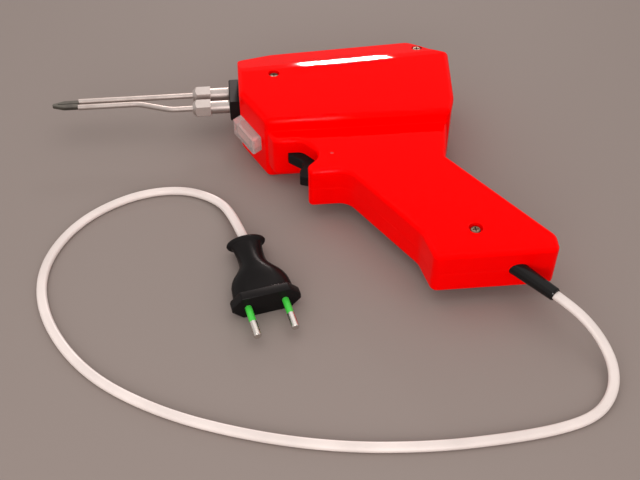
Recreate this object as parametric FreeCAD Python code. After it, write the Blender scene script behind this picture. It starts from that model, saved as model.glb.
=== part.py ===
import FreeCAD, Part
import math
import os

# Soldering gun with a transformer in its body, lying on its right side, and its mains lead.
# Millimetres. Working frame: X runs along the barrel from the front plate to the rear, Y is up
# through the gun from the barrel's axis, and Z is square to the gun's middle plane, with the
# floor at 0. Every solid is moved at the end, so that the origin is the middle of the
# footprint of the gun itself, on the floor.

V = FreeCAD.Vector

# ---- housing: thick body above, thin grip below ----
BODY_THICK = 41.0
GRIP_THICK = 25.0
WALL = 2.2
FRONT_X = 4.3
REAR_X = 129.0
TOP_FRONT_Y = 7.4
TOP_RISE = 6.0
TOP_RISE_RUN = 19.7
TOP_REAR_Y = 19.2
CREST_BACK = 22.0
SHOULDER_BACK = 10.5
SHOULDER_DROP = 11.0
REAR_TOP_DROP = 16.0
REAR_TAPER = 4.7
REAR_TAPER_UP = 13.4
REAR_FOOT = 9.1
BODY_UNDER_Y = -54.2
NOSE_UNDER_Y = -62.2
BLOCK_UNDER_Y = -89.4
BUTT_Y = -157.0
GRIP_LEAN = 58.6
GRIP_DEPTH = 48.8
GRIP_REAR_X = 112.6
GRIP_REAR_DROP = 28.0
NOTCH_RUN = 9.0
NOTCH_DEPTH = 17.5
NOTCH_FALL = 12.0
NOTCH_LIP = 6.0
NOSE_LOBE = 7.5
CHIN_BACK = 10.2
CHIN_RISE = 18.0
BLOCK_BACK = 4.2
BUTT_FRONT_RISE = 18.6
BUTT_FRONT_RUN = 3.8
HEEL_RISE = 10.6
HEEL_CUT = 3.4
CHAMFER_Y = -26.6
CHAMFER_LEAN = 63.6
BODY_EDGE_R = 3.4
GRIP_EDGE_R = 2.4
BEVEL_RUN = 15.5
BEVEL_DROP = 3.4
FACET_RUN = 4.5
FACET_DROP = 0.5
SPLIT_GAP = 0.1

# ---- barrel: posts, nuts, wires and bit ----
POST_GAP = 12.6
POST_R = 3.75
LOOP_R = 3.05
POST_LENGTH = 11.0
STUD_R = 2.4
STUD_LENGTH = 6.0
NUT_ACROSS = 9.5
NUT_TURN = 20.0
NUT_NOSE = 2.6
NUT_LENGTH = 10.4
WIRE_R = 1.6
WIRE_REACH = 67.0
WIRE_PITCH = 5.5
BIT_LENGTH = 15.0
BIT_THICK = 2.4
BIT_HALF = 3.3
BIT_SLOT = 0.6
LOOP_CLEAR = 1.85

# ---- front plate and lamp window ----
PLATE_PROUD = 5.9
PLATE_THICK = 13.4
PLATE_MARGIN = 4.6
LENS_THICK = 9.0
LENS_LENGTH = 24.3
LENS_PROUD = 6.0
LENS_DRAFT_TOP = 2.2
LENS_DRAFT_LOW = 1.5
LENS_LIP = 1.6
LENS_WALL = 1.8
PLATE_FLANGE = 1.8
BULB_R = 1.9
BULB_BACK = 8.6
LAMP_CUP_R = 3.6

# ---- trigger and switch ----
TRIGGER_THICK = 6.5
TRIGGER_TRAVEL = 4.0
TRIGGER_LEFT_X = 29.5
TRIGGER_LENGTH = 28.0
TRIGGER_LIFT = 5.4
PIN_X = 52.2
PIN_Y = -74.8
PIN_R = 1.0
SPRING_R = 2.4
SPRING_WIRE_R = 0.35
SPRING_TURNS = 5
PLUNGER_W = 3.4

# ---- transformer ----
CORE_LEG = 13.0
CORE_STACK = 18.0
CORE_ROOM = 1.3
CORE_WINDOW = 30.0
CORE_X = 36.0
CORE_Y = -7.5
COIL_GROW = 8.0

# ---- screws ----
SCREW_R = 1.45
HEAD_R = 2.6
HEAD_H = 1.9
BODY_SINK_R = 3.1
GRIP_SINK_R = 3.6
BOSS_R = 4.6

# ---- fits ----
SLIP = 0.3
SNUG = 0.15
PIN_FIT = 0.05
WIRE_END_GAP = 0.8

# ---- mains lead ----
FLEX_W = 5.2
FLEX_T = 3.2
LEAD_R = 1.1
LAMP_LEAD_R = 0.8
BOOT_R = 4.2
BOOT_END_R = 3.4
BOOT_LENGTH = 32.0
PLUG_WIDTH = 35.0
PLUG_THICK = 13.7
PLUG_LENGTH = 45.5
PLUG_PITCH = 18.8
PLUG_PIN_R = 2.0
PLUG_PIN_LENGTH = 19.0
PLUG_SLEEVE = 10.0
SLEEVE_R = 1.75
PIN_NECK_R = 1.4

MID = BODY_THICK / 2
GRIP_LOW = MID - GRIP_THICK / 2
GRIP_HIGH = MID + GRIP_THICK / 2


def wire_through(points, closed):
    """Straight runs joined by tangent arcs. Each point is (x, y, z, radius)."""
    count = len(points)
    spots = [V(p[0], p[1], p[2]) for p in points]
    starts = []
    ends = []
    middles = []
    for i in range(count):
        radius = points[i][3]
        if radius == 0 or (not closed and i in (0, count - 1)):
            starts.append(spots[i])
            ends.append(spots[i])
            middles.append(None)
            continue
        back = (spots[i - 1] - spots[i]).normalize()
        ahead = (spots[(i + 1) % count] - spots[i]).normalize()
        half = back.getAngle(ahead) / 2
        reach = radius / math.tan(half)
        bisector = (back + ahead).normalize()
        starts.append(spots[i] + back * reach)
        ends.append(spots[i] + ahead * reach)
        middles.append(spots[i] + bisector * (radius / math.sin(half) - radius))
    edges = []
    for i in range(count):
        if middles[i] is not None:
            edges.append(Part.Arc(starts[i], middles[i], ends[i]).toShape())
        if i == count - 1 and not closed:
            break
        run_end = starts[(i + 1) % count]
        if ends[i].distanceToPoint(run_end) > 1e-6:
            edges.append(Part.LineSegment(ends[i], run_end).toShape())
    return Part.Wire(Part.__sortEdges__(edges))


def flat_face(points):
    """Face in the XY plane from (x, y, radius) corners."""
    return Part.Face(wire_through([(p[0], p[1], 0.0, p[2]) for p in points], True))


def slab(points, low, high):
    face = flat_face(points)
    face.translate(V(0, 0, low))
    return face.extrude(V(0, 0, high - low))


def rod(start, direction, radius, length):
    return Part.makeCylinder(radius, length, start, direction)


def block(low, high):
    size = high - low
    return Part.makeBox(size.x, size.y, size.z, low)


def rounded_edges(solid, levels, radius):
    """Round the outline edges that lie in the planes z = levels."""
    picked = []
    for edge in solid.Edges:
        box = edge.BoundBox
        if box.ZLength < 1e-6 and any(abs(box.ZMin - level) < 1e-6 for level in levels):
            picked.append(edge)
    return solid.makeFillet(radius, picked)


def sweep_round(points, radius):
    path = wire_through(points, False)
    start = path.Edges[0].firstVertex().Point
    heading = path.Edges[0].tangentAt(path.Edges[0].FirstParameter)
    ring = Part.Wire(Part.Circle(start, heading, radius).toShape())
    return path.makePipeShell([ring], True, False)


# ---- housing outlines ----
LEAN = V(math.cos(math.radians(GRIP_LEAN)), -math.sin(math.radians(GRIP_LEAN)), 0)
SLANT = V(math.cos(math.radians(CHAMFER_LEAN)), -math.sin(math.radians(CHAMFER_LEAN)), 0)
TOP_START = V(FRONT_X + TOP_RISE_RUN, TOP_FRONT_Y + TOP_RISE, 0)
CREST = V(REAR_X - CREST_BACK, TOP_REAR_Y, 0)
GRIP_TOP = V(GRIP_REAR_X, BODY_UNDER_Y - GRIP_REAR_DROP, 0)
GRIP_SPAN = GRIP_DEPTH / math.sin(math.radians(GRIP_LEAN))


def on_line(start, direction, y):
    """Point of a slanted line at the height y."""
    return start + direction * ((y - start.y) / direction.y)


def body_outline():
    nose = on_line(V(FRONT_X, CHAMFER_Y, 0), SLANT, BODY_UNDER_Y)
    return [
        (FRONT_X, TOP_FRONT_Y, 3.6),
        (TOP_START.x, TOP_START.y, 20.0),
        (CREST.x, CREST.y, 5.0),
        (REAR_X - SHOULDER_BACK, TOP_REAR_Y - SHOULDER_DROP, 8.0),
        (REAR_X, TOP_REAR_Y - REAR_TOP_DROP, 3.6),
        (REAR_X - REAR_TAPER, BODY_UNDER_Y + REAR_TAPER_UP, 30.0),
        (REAR_X - REAR_FOOT, BODY_UNDER_Y, 3.6),
        (nose.x, nose.y, 3.6),
        (FRONT_X, CHAMFER_Y, 4.0),
    ]


def grip_outline():
    chin = on_line(V(FRONT_X, CHAMFER_Y, 0), SLANT, NOSE_UNDER_Y)
    heel = on_line(GRIP_TOP, LEAN, BUTT_Y)
    rear = on_line(GRIP_TOP, LEAN, BLOCK_UNDER_Y - 6.0)
    front_high = rear - V(GRIP_SPAN, 0, 0)
    front_low = on_line(front_high, LEAN, BUTT_Y + BUTT_FRONT_RISE)
    lip_x = TRIGGER_LEFT_X + NOTCH_RUN
    return [
        (chin.x - CHIN_BACK, BODY_UNDER_Y + CHIN_RISE, 3.0),
        (chin.x, NOSE_UNDER_Y, 5.0),
        (TRIGGER_LEFT_X + NOSE_LOBE, NOSE_UNDER_Y, 6.0),
        (TRIGGER_LEFT_X + NOTCH_DEPTH, NOSE_UNDER_Y - NOTCH_FALL, 8.0),
        (lip_x, BLOCK_UNDER_Y + NOTCH_LIP, 2.0),
        (lip_x, BLOCK_UNDER_Y, 2.5),
        (front_high.x - BLOCK_BACK, BLOCK_UNDER_Y, 10.0),
        (front_low.x, front_low.y, 14.0),
        (front_low.x + BUTT_FRONT_RUN, BUTT_Y, 4.0),
        (heel.x - HEEL_CUT, BUTT_Y, 4.0),
        (heel.x - HEEL_CUT + 0.8, BUTT_Y + HEEL_RISE, 7.0),
        (GRIP_TOP.x, GRIP_TOP.y, 3.0),
        (REAR_X - REAR_FOOT, BODY_UNDER_Y + 8.0, 3.0),
    ]


def bevel_wedges():
    """Two wedges that bevel the body's sides towards its top line, after a narrow first facet."""
    along = (CREST - TOP_START).normalize()
    up = V(-along.y, along.x, 0)
    origin = TOP_START - along * 40.0
    reach = CREST.distanceToPoint(TOP_START) + 90.0
    wedges = []
    for face_z, sense in ((BODY_THICK, 1.0), (0.0, -1.0)):
        low = origin - up * (BEVEL_RUN + FACET_RUN) + V(0, 0, face_z)
        crease = origin - up * BEVEL_RUN + V(0, 0, face_z - sense * FACET_DROP)
        steep = origin + up * BEVEL_RUN + V(0, 0, face_z - sense * (FACET_DROP + 2 * BEVEL_DROP))
        outer = origin + up * BEVEL_RUN + V(0, 0, face_z + sense * 2.0)
        near = low + V(0, 0, sense * 2.0)
        ring = Part.makePolygon([low, crease, steep, outer, near, low])
        wedges.append(Part.Face(ring).extrude(along * reach))
    return wedges


def housing_solid(inset, body_edge, grip_edge):
    """The whole housing as one solid, shrunk by inset."""
    body_face = flat_face(body_outline())
    grip_face = flat_face(grip_outline())
    if inset > 0:
        body_face = body_face.makeOffset2D(-inset)
        grip_face = grip_face.makeOffset2D(-inset)
    body_face.translate(V(0, 0, inset))
    grip_face.translate(V(0, 0, GRIP_LOW + inset))
    body = body_face.extrude(V(0, 0, BODY_THICK - 2 * inset))
    grip = grip_face.extrude(V(0, 0, GRIP_THICK - 2 * inset))
    if body_edge > 0:
        body = rounded_edges(body, (inset, BODY_THICK - inset), body_edge)
        grip = rounded_edges(grip, (GRIP_LOW + inset, GRIP_HIGH - inset), grip_edge)
    for wedge in bevel_wedges():
        shift = V(0, 0, inset if wedge.BoundBox.ZMin < 0 else -inset)
        body = body.cut(wedge.translated(shift))
    return body.fuse(grip)


# ---- lamp window, front plate and their openings in the housing ----
OUTWARD = V(-math.sin(math.radians(CHAMFER_LEAN)), -math.cos(math.radians(CHAMFER_LEAN)), 0)
LENS_TOP = V(FRONT_X, CHAMFER_Y, 0)
LENS_LOW = LENS_TOP + SLANT * LENS_LENGTH
LENS_OUT_TOP = LENS_TOP + OUTWARD * LENS_PROUD + SLANT * LENS_DRAFT_TOP
LENS_OUT_LOW = LENS_LOW + OUTWARD * LENS_PROUD + SLANT * LENS_DRAFT_LOW
LAMP_Y = (LENS_TOP.y + LENS_LOW.y) / 2
PLATE_X = FRONT_X - PLATE_PROUD
PLATE_TOP_Y = PLATE_MARGIN
PLATE_LOW_Y = -POST_GAP - PLATE_MARGIN


def corner(point, radius=0.0):
    return (point.x, point.y, radius)


def across(thickness, grow=0.0):
    """Low and high Z of a piece centred on the middle plane."""
    return MID - thickness / 2 - grow, MID + thickness / 2 + grow


def lens():
    """Clear lamp window: a slanted block through the chin with a lip behind the wall."""
    back = OUTWARD * (-WALL - SNUG)
    low, high = across(LENS_THICK)
    front = slab([
        corner(LENS_TOP + back + SLANT * 2.5), corner(LENS_TOP + SLANT * 0.5),
        corner(LENS_OUT_TOP, 1.0), corner(LENS_OUT_LOW, 1.0),
        corner(LENS_LOW), corner(LENS_LOW + back),
    ], low, high)
    lip_low, lip_high = across(LENS_THICK, LENS_LIP)
    lip_back = back - OUTWARD * LENS_LIP
    lip = slab([
        corner(LENS_TOP + back + SLANT * 3.0), corner(LENS_LOW + back + SLANT * LENS_LIP),
        corner(LENS_LOW + lip_back + SLANT * LENS_LIP), corner(LENS_TOP + lip_back + SLANT * 3.0),
    ], lip_low, lip_high)
    hollow_back = lip_back - OUTWARD * 1.0
    hollow_front = OUTWARD * (LENS_PROUD - 2.0)
    hollow = slab([
        corner(LENS_TOP + hollow_back + SLANT * 6.0), corner(LENS_TOP + hollow_front + SLANT * 6.0),
        corner(LENS_LOW + hollow_front - SLANT * 3.0), corner(LENS_LOW + hollow_back - SLANT * 3.0),
    ], low + LENS_WALL, high - LENS_WALL)
    return front.fuse(lip).cut(hollow)


def lens_opening():
    low, high = across(LENS_THICK, SNUG)
    return slab([
        corner(LENS_TOP - OUTWARD * (WALL + 2.0) + SLANT * 1.5),
        corner(LENS_TOP + OUTWARD * 2.0 + SLANT * -0.5),
        corner(LENS_LOW + OUTWARD * 2.0 + SLANT * SNUG),
        corner(LENS_LOW - OUTWARD * (WALL + 2.0) + SLANT * SNUG),
    ], low, high)


def front_plate():
    """Black insulating plate that the two posts stand in, with a flange behind the wall."""
    low, high = across(PLATE_THICK)
    inner_x = FRONT_X + WALL + 2.0
    plate = block(V(PLATE_X, PLATE_LOW_Y, low), V(inner_x, PLATE_TOP_Y, high))
    plate = plate.makeChamfer(0.5, [e for e in plate.Edges if e.BoundBox.XMax < PLATE_X + 0.1])
    flange = block(V(FRONT_X + WALL + SNUG, PLATE_LOW_Y - PLATE_FLANGE, low - PLATE_FLANGE),
                   V(inner_x, PLATE_TOP_Y - 1.0, high + PLATE_FLANGE))
    plate = plate.fuse(flange)
    for y in (0.0, -POST_GAP):
        hole = rod(V(PLATE_X - 1, y, MID), V(1, 0, 0), POST_R + SNUG, PLATE_PROUD + WALL + 5)
        plate = plate.cut(hole)
    return plate.removeSplitter()


def plate_opening():
    low, high = across(PLATE_THICK, SNUG)
    return block(V(FRONT_X - 1, PLATE_LOW_Y - SNUG, low),
                 V(FRONT_X + WALL + 1, PLATE_TOP_Y + SNUG, high))


def lamp_bulb():
    tip = V(LENS_TOP.x + BULB_BACK, LAMP_Y, MID)
    glass = Part.makeSphere(BULB_R, tip)
    return glass.fuse(rod(tip, V(1, 0, 0), BULB_R, 6.0)).removeSplitter()


def lamp_holder():
    start = V(LENS_TOP.x + BULB_BACK + 3.2, LAMP_Y, MID)
    cup = rod(start, V(1, 0, 0), LAMP_CUP_R, 9.5)
    return cup.cut(rod(start - V(1, 0, 0), V(1, 0, 0), BULB_R + SNUG, 4.5))


# ---- trigger, its guide pin, return spring and switch ----
SPRING_Y = PIN_Y + 7.0
TRIGGER_BACK_X = TRIGGER_LEFT_X + TRIGGER_LENGTH
TRIGGER_LOW_Y = BLOCK_UNDER_Y + TRIGGER_LIFT
SEAT_X = TRIGGER_BACK_X + 9.5
SWITCH_X = TRIGGER_BACK_X + 6.5
SWITCH_LENGTH = 20.0
SWITCH_TOP_Y = PIN_Y + 0.4
SWITCH_LOW_Y = BLOCK_UNDER_Y + WALL + 0.4
PLUNGER_Y = (SWITCH_TOP_Y + SWITCH_LOW_Y) / 2


def trigger():
    """Finger piece with a hooked front; it slides straight back on the guide pin."""
    left = TRIGGER_LEFT_X
    low, high = across(TRIGGER_THICK)
    shape = slab([
        (left, NOSE_UNDER_Y + 4.4, 0.8), (left, NOSE_UNDER_Y - 1.0, 1.2),
        (left + 9.0, NOSE_UNDER_Y - 9.0, 4.0), (left + 5.2, NOSE_UNDER_Y - 14.5, 2.2),
        (left + 4.8, TRIGGER_LOW_Y + 2.2, 1.0), (left + 10.0, TRIGGER_LOW_Y, 1.0),
        (TRIGGER_BACK_X, TRIGGER_LOW_Y, 1.0), (TRIGGER_BACK_X, NOSE_UNDER_Y - 2.0, 2.0),
        (left + 18.0, NOSE_UNDER_Y + 4.4, 4.0),
    ], low, high)
    outline = [edge for edge in shape.Edges
               if edge.BoundBox.ZLength < 1e-6 and edge.BoundBox.XMax < left + 12.0]
    shape = shape.makeFillet(0.7, outline)
    slot_r = PIN_R + PIN_FIT
    slot_start = V(PIN_X - TRIGGER_TRAVEL, PIN_Y, low - 1)
    slot = rod(slot_start, V(0, 0, 1), slot_r, TRIGGER_THICK + 2)
    slot = slot.fuse(rod(V(PIN_X, PIN_Y, low - 1), V(0, 0, 1), slot_r, TRIGGER_THICK + 2))
    slot = slot.fuse(block(slot_start - V(0, slot_r, 0),
                           V(PIN_X, PIN_Y + slot_r, high + 1)))
    return shape.cut(slot)


def trigger_opening():
    low, high = across(TRIGGER_THICK, SLIP)
    return block(V(TRIGGER_LEFT_X - SLIP, TRIGGER_LOW_Y - SLIP, low),
                 V(TRIGGER_LEFT_X + 21.5, NOSE_UNDER_Y + 6.0, high))


def guide_pin():
    return rod(V(PIN_X, PIN_Y, GRIP_LOW + 1.0), V(0, 0, 1), PIN_R, GRIP_THICK - 1.2)


def trigger_spring():
    """Compression spring between the trigger's back and its seat."""
    length = SEAT_X - TRIGGER_BACK_X - 0.4
    coil_r = SPRING_R - SPRING_WIRE_R
    rise = length - 2 * SPRING_WIRE_R
    helix = Part.makeHelix(rise / SPRING_TURNS, rise, coil_r)
    wire = Part.Wire(Part.Circle(V(coil_r, 0, 0), V(0, 1, 0), SPRING_WIRE_R).toShape())
    coil = Part.Wire(helix.Edges).makePipeShell([wire], True, True)
    coil.rotate(V(0, 0, 0), V(0, 1, 0), 90)
    coil.translate(V(TRIGGER_BACK_X + 0.2 + SPRING_WIRE_R, SPRING_Y, MID))
    return coil


def spring_seat(outer):
    """Rib across the grip that the spring pushes on."""
    rib = block(V(SEAT_X, SPRING_Y - 3.6, GRIP_LOW), V(SEAT_X + 2.0, SPRING_Y + 3.6, GRIP_HIGH))
    return rib.common(outer)


def switch_body():
    low, high = across(GRIP_THICK - 2 * WALL, -SLIP)
    body = block(V(SWITCH_X, SWITCH_LOW_Y, low), V(SWITCH_X + SWITCH_LENGTH, SWITCH_TOP_Y, high))
    body = body.makeChamfer(0.8, [e for e in body.Edges if e.BoundBox.ZLength > 5])
    half = PLUNGER_W / 2 + SNUG
    guide = block(V(SWITCH_X - 1, PLUNGER_Y - half, MID - half),
                  V(SWITCH_X + 10.0, PLUNGER_Y + half, MID + half))
    return body.cut(guide)


def switch_plunger():
    half = PLUNGER_W / 2
    stem = block(V(TRIGGER_BACK_X + SLIP, PLUNGER_Y - half, MID - half),
                 V(SWITCH_X + 4.5, PLUNGER_Y + half, MID + half))
    return stem.makeChamfer(0.5, [e for e in stem.Edges if e.BoundBox.XMax < SWITCH_X])


# ---- transformer: core, bobbin, winding and the heavy secondary loop ----
CORE_LOW, CORE_HIGH = across(BODY_THICK - 2 * WALL - 2 * CORE_ROOM, -SLIP)
YOKE = (CORE_HIGH - CORE_LOW) / 4
REAR_LEG_X = CORE_X + CORE_LEG + CORE_WINDOW
CORE_SOUTH = CORE_Y - CORE_STACK / 2
CORE_NORTH = CORE_Y + CORE_STACK / 2


def core():
    """Closed core, its laminations stacked along Y; shallow grooves mark every other sheet."""
    frame = block(V(CORE_X, CORE_SOUTH, CORE_LOW), V(REAR_LEG_X + CORE_LEG, CORE_NORTH, CORE_HIGH))
    frame = frame.cut(block(V(CORE_X + CORE_LEG, CORE_SOUTH - 1, CORE_LOW + YOKE),
                            V(REAR_LEG_X, CORE_NORTH + 1, CORE_HIGH - YOKE)))
    for i in range(1, 10):
        y = CORE_SOUTH + i * CORE_STACK / 10
        groove = block(V(CORE_X - 1, y - 0.15, CORE_LOW - 1), V(CORE_X + 0.3, y + 0.15, CORE_HIGH + 1))
        frame = frame.cut(groove)
    return frame


def ring_block(gap, grow, low, high):
    """Square ring round the rear leg, from gap outside the leg to grow outside it."""
    whole = block(V(REAR_LEG_X - grow, CORE_SOUTH - grow, low),
                  V(REAR_LEG_X + CORE_LEG + grow, CORE_NORTH + grow, high))
    hole = block(V(REAR_LEG_X - gap, CORE_SOUTH - gap, low - 1),
                 V(REAR_LEG_X + CORE_LEG + gap, CORE_NORTH + gap, high + 1))
    return whole.cut(hole)


def bobbin():
    low = CORE_LOW + YOKE + SLIP
    high = CORE_HIGH - YOKE - SLIP
    tube = ring_block(SLIP, 1.5, low, high)
    for z in (low, high - 1.2):
        tube = tube.fuse(ring_block(SLIP, COIL_GROW, z, z + 1.2))
    return tube.removeSplitter()


def winding():
    low = CORE_LOW + YOKE + SLIP + 1.2
    high = CORE_HIGH - YOKE - SLIP - 1.2
    coil = ring_block(1.5, COIL_GROW - 0.8, low, high)
    upright = [e for e in coil.Edges if e.BoundBox.ZLength > 5
               and (e.BoundBox.XMin < REAR_LEG_X - 5 or e.BoundBox.XMax > REAR_LEG_X + CORE_LEG + 5)]
    return coil.makeFillet(3.0, upright)


def secondary_loop():
    """One heavy turn round the front leg; its two ends are thicker and stand out as the posts."""
    post_x = PLATE_X - POST_LENGTH
    upper_y = CORE_NORTH + LOOP_CLEAR + LOOP_R
    lower_y = CORE_SOUTH - LOOP_CLEAR - LOOP_R
    back_x = CORE_X + CORE_LEG + CORE_WINDOW * 0.42
    loop = sweep_round([
        (post_x, 0.0, MID, 0), (CORE_X - 14.0, 0.0, MID, 9.0),
        (CORE_X - 5.0, upper_y, MID, 9.0), (back_x, upper_y, MID, 8.0),
        (back_x, lower_y, MID, 8.0), (CORE_X - 15.0, lower_y, MID, 5.0),
        (CORE_X - 22.5, -POST_GAP, MID, 5.0), (post_x, -POST_GAP, MID, 0),
    ], LOOP_R)
    for y in (0.0, -POST_GAP):
        loop = loop.fuse(rod(V(post_x, y, MID), V(1, 0, 0), POST_R, POST_LENGTH + PLATE_PROUD))
        loop = loop.fuse(rod(V(post_x - STUD_LENGTH, y, MID), V(1, 0, 0), STUD_R, STUD_LENGTH))
    return loop


# ---- nuts, tip wires and bit ----
NUT_BACK_X = PLATE_X - POST_LENGTH
NUT_FRONT_X = NUT_BACK_X - NUT_LENGTH
WIRE_START_X = NUT_BACK_X - STUD_LENGTH - 0.2
BIT_BACK_X = NUT_FRONT_X - WIRE_REACH


def hex_nut(y):
    """Cap nut: six flats, a chamfered nose, a wide bore for the stud, a small one for the wire."""
    corner_r = NUT_ACROSS / 2 / math.cos(math.pi / 6)
    spots = []
    for i in range(7):
        angle = math.radians(60 * i + NUT_TURN)
        spots.append(V(NUT_FRONT_X, y + corner_r * math.cos(angle), MID + corner_r * math.sin(angle)))
    body = Part.Face(Part.makePolygon(spots)).extrude(V(NUT_LENGTH, 0, 0))
    wide_r = corner_r + 0.2
    taper = Part.makeCone(wide_r - NUT_NOSE, wide_r, NUT_NOSE, V(NUT_FRONT_X, y, MID), V(1, 0, 0))
    straight = rod(V(NUT_FRONT_X + NUT_NOSE, y, MID), V(1, 0, 0), wide_r, NUT_LENGTH)
    body = body.common(taper.fuse(straight))
    body = body.cut(rod(V(WIRE_START_X, y, MID), V(1, 0, 0), STUD_R + PIN_FIT, NUT_LENGTH))
    return body.cut(rod(V(NUT_FRONT_X - 1, y, MID), V(1, 0, 0), WIRE_R + 0.1, NUT_LENGTH))


def tip_wire(y, end_y):
    if abs(y - end_y) < 1e-6:
        return rod(V(BIT_BACK_X, y, MID), V(1, 0, 0), WIRE_R, WIRE_START_X - BIT_BACK_X)
    bend_x = NUT_FRONT_X - 13.0
    return sweep_round([
        (WIRE_START_X, y, MID, 0), (bend_x, y, MID, 16.0),
        (bend_x - 19.0, end_y, MID, 16.0), (BIT_BACK_X, end_y, MID, 0),
    ], WIRE_R)


def tip_bit():
    """Flat pointed loop brazed to the ends of the two wires, with a slot between its halves."""
    middle = -WIRE_PITCH / 2 - 0.3
    tip_x = BIT_BACK_X - BIT_LENGTH
    shoulder_x = BIT_BACK_X - BIT_LENGTH * 0.55
    low, high = across(BIT_THICK)
    bit = slab([
        (BIT_BACK_X, middle + BIT_HALF, 0.5), (shoulder_x, middle + BIT_HALF, 6.0),
        (tip_x, middle + 0.8, 0.7), (tip_x, middle - 0.8, 0.7),
        (shoulder_x, middle - BIT_HALF, 6.0), (BIT_BACK_X, middle - BIT_HALF, 0.5),
    ], low, high)
    bit = bit.makeChamfer(0.35, [e for e in bit.Edges if e.BoundBox.ZLength < 1e-6])
    slot = block(V(tip_x + 3.0, middle - BIT_SLOT / 2, low - 1), V(BIT_BACK_X + 1, middle + BIT_SLOT / 2, high + 1))
    return bit.cut(slot)


# ---- screws ----
# (x, y, height of the seat, shank length, radius of the sink)
SCREW_SPOTS = [
    (FRONT_X + 20.7, -10.9, BODY_THICK - 3.0, 30.0, BODY_SINK_R),
    (REAR_X - 17.5, TOP_REAR_Y - 9.2, BODY_THICK - 4.2, 28.6, BODY_SINK_R),
    (GRIP_TOP.x + 4.3, BUTT_Y + 18.4, GRIP_HIGH - 2.8, 17.5, GRIP_SINK_R),
]


def screw(x, y, seat, length, _sink):
    head = rod(V(x, y, seat), V(0, 0, 1), HEAD_R, HEAD_H)
    head = head.makeFillet(0.8, [e for e in head.Edges if e.BoundBox.ZMin > seat + HEAD_H - 1e-6])
    body = head.fuse(rod(V(x, y, seat - length), V(0, 0, 1), SCREW_R, length))
    for wide, deep in ((3.2, 0.75), (0.75, 3.2)):
        body = body.cut(block(V(x - wide / 2, y - deep / 2, seat + HEAD_H - 1.0),
                              V(x + wide / 2, y + deep / 2, seat + HEAD_H + 1.0)))
    return body


# ---- mains lead: flat flex, strain relief and clamp at the butt ----
BOOT_HEADING = V(math.cos(math.radians(-53.4)), math.sin(math.radians(-53.4)), 0)
BUTT_EXIT = V(GRIP_TOP.x + 22.6, BUTT_Y + 1.3, MID)
BOOT_INSIDE = 8.2
BOOT_END = BUTT_EXIT + BOOT_HEADING * (BOOT_LENGTH - BOOT_INSIDE)
BOOT_START = BUTT_EXIT - BOOT_HEADING * BOOT_INSIDE
LEAD_START = BUTT_EXIT - BOOT_HEADING * 18.0
SIDEWAYS = V(-BOOT_HEADING.y, BOOT_HEADING.x, 0)


def flex_section(centre, heading, up, grow=0.0):
    """Flat oval with round ends, square to heading."""
    side = up.cross(heading).normalize()
    straight = side * ((FLEX_W - FLEX_T) / 2)
    rise = up * (FLEX_T / 2 + grow)
    bulge = side * (FLEX_W / 2 + grow)
    return Part.Wire([
        Part.LineSegment(centre - straight + rise, centre + straight + rise).toShape(),
        Part.Arc(centre + straight + rise, centre + bulge, centre + straight - rise).toShape(),
        Part.LineSegment(centre + straight - rise, centre - straight - rise).toShape(),
        Part.Arc(centre - straight - rise, centre - bulge, centre - straight + rise).toShape(),
    ])


def flex_run(start, heading, length, grow=0.0):
    face = Part.Face(flex_section(start, heading, V(0, 0, 1), grow))
    return face.extrude(heading * length)


def strain_relief():
    """Tapered rubber boot with a flange that sits behind the butt wall."""
    length = BOOT_LENGTH
    flange = rod(BOOT_START, BOOT_HEADING, BOOT_R + 1.8, 2.0)
    shaft = Part.makeCone(BOOT_R, BOOT_END_R, length - 0.8, BOOT_START, BOOT_HEADING)
    lip_start = BOOT_START + BOOT_HEADING * (length - 0.8)
    lip = Part.makeCone(BOOT_END_R, BOOT_END_R - 0.5, 0.8, lip_start, BOOT_HEADING)
    boot = flange.fuse(shaft).fuse(lip)
    bore = flex_run(BOOT_START - BOOT_HEADING, BOOT_HEADING, length + 2, 0.08)
    return boot.cut(bore).removeSplitter()


def boot_opening():
    start = BOOT_START + BOOT_HEADING * (2.0 + SNUG)
    return Part.makeCone(BOOT_R + SNUG, BOOT_R - 0.4 + SNUG, 14.0, start, BOOT_HEADING)


def lead_inside():
    return flex_run(LEAD_START, BOOT_HEADING, LEAD_START.distanceToPoint(BOOT_END))


CLAMP_AT = BUTT_EXIT - BOOT_HEADING * 13.4
CLAMP_HALF = 8.0
CLAMP_WIDE = 5.0
CLAMP_SCREW = 5.4


def clamp_bar(low, high):
    corners = []
    for along, side in ((-1, -1), (1, -1), (1, 1), (-1, 1)):
        spot = CLAMP_AT + BOOT_HEADING * (along * CLAMP_WIDE / 2) + SIDEWAYS * (side * CLAMP_HALF)
        corners.append((spot.x, spot.y, 1.0))
    return slab(corners, low, high)


def clamp_holes(radius, low, high):
    holes = []
    for side in (-1, 1):
        spot = CLAMP_AT + SIDEWAYS * (side * CLAMP_SCREW)
        holes.append(rod(V(spot.x, spot.y, low), V(0, 0, 1), radius, high - low))
    return holes


def cord_clamp():
    bar = clamp_bar(MID + FLEX_T / 2, MID + FLEX_T / 2 + 3.0)
    for hole in clamp_holes(SCREW_R - 0.3 + SLIP, MID, MID + 8):
        bar = bar.cut(hole)
    return bar


def clamp_screws():
    seat = MID + FLEX_T / 2 + 3.0
    screws = []
    for side in (-1, 1):
        spot = CLAMP_AT + SIDEWAYS * (side * CLAMP_SCREW)
        head = rod(V(spot.x, spot.y, seat), V(0, 0, 1), 2.2, 1.6)
        head = head.cut(block(V(spot.x - 3, spot.y - 0.35, seat + 0.8), V(spot.x + 3, spot.y + 0.35, seat + 2)))
        screws.append(head.fuse(rod(V(spot.x, spot.y, seat - 10), V(0, 0, 1), SCREW_R - 0.3, 10)))
    return Part.makeCompound(screws)


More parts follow.
